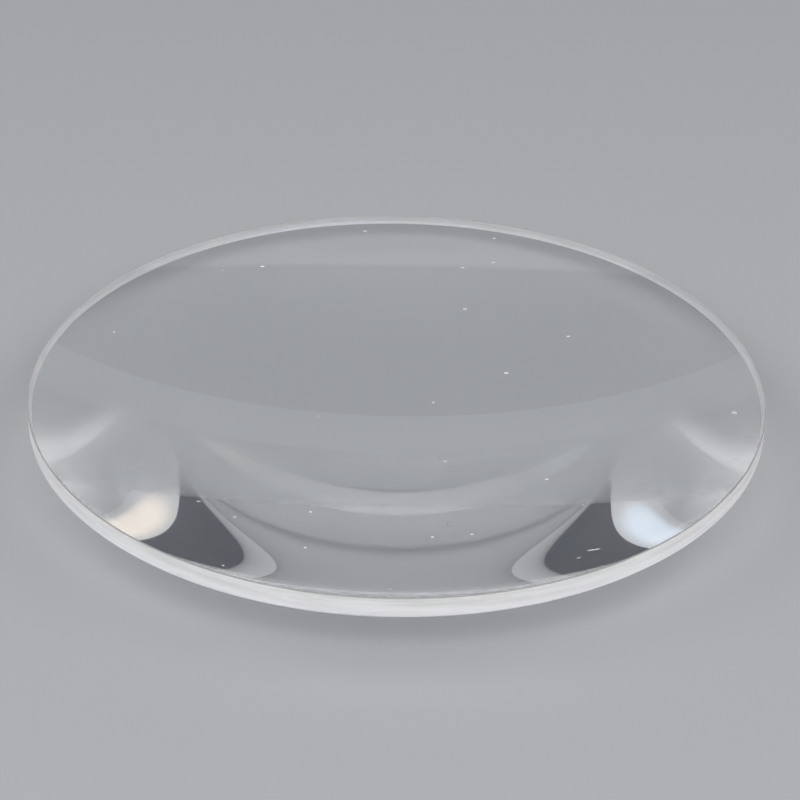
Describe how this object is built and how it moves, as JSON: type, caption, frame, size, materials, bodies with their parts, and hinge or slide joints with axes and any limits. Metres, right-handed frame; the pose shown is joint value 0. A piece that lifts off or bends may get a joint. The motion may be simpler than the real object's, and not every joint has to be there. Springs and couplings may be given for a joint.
{
  "type": "plano-convex lens",
  "caption": "Round plano-convex lens of clear crown glass: one flat and one gently convex polished face, a ground edge and fine bevels.",
  "frame": {"origin": "vertex of the convex face, the lowest point, on which the lens rests", "axes": "+Z along the optical axis, from the convex face towards the flat face"},
  "size_m": [0.1, 0.1, 0.01],
  "materials": {
    "crown_glass": "polished faces, fine ground edge and bevels"
  },
  "bodies": {
    "root": {"lens": "crown_glass"}
  },
  "joints": []
}
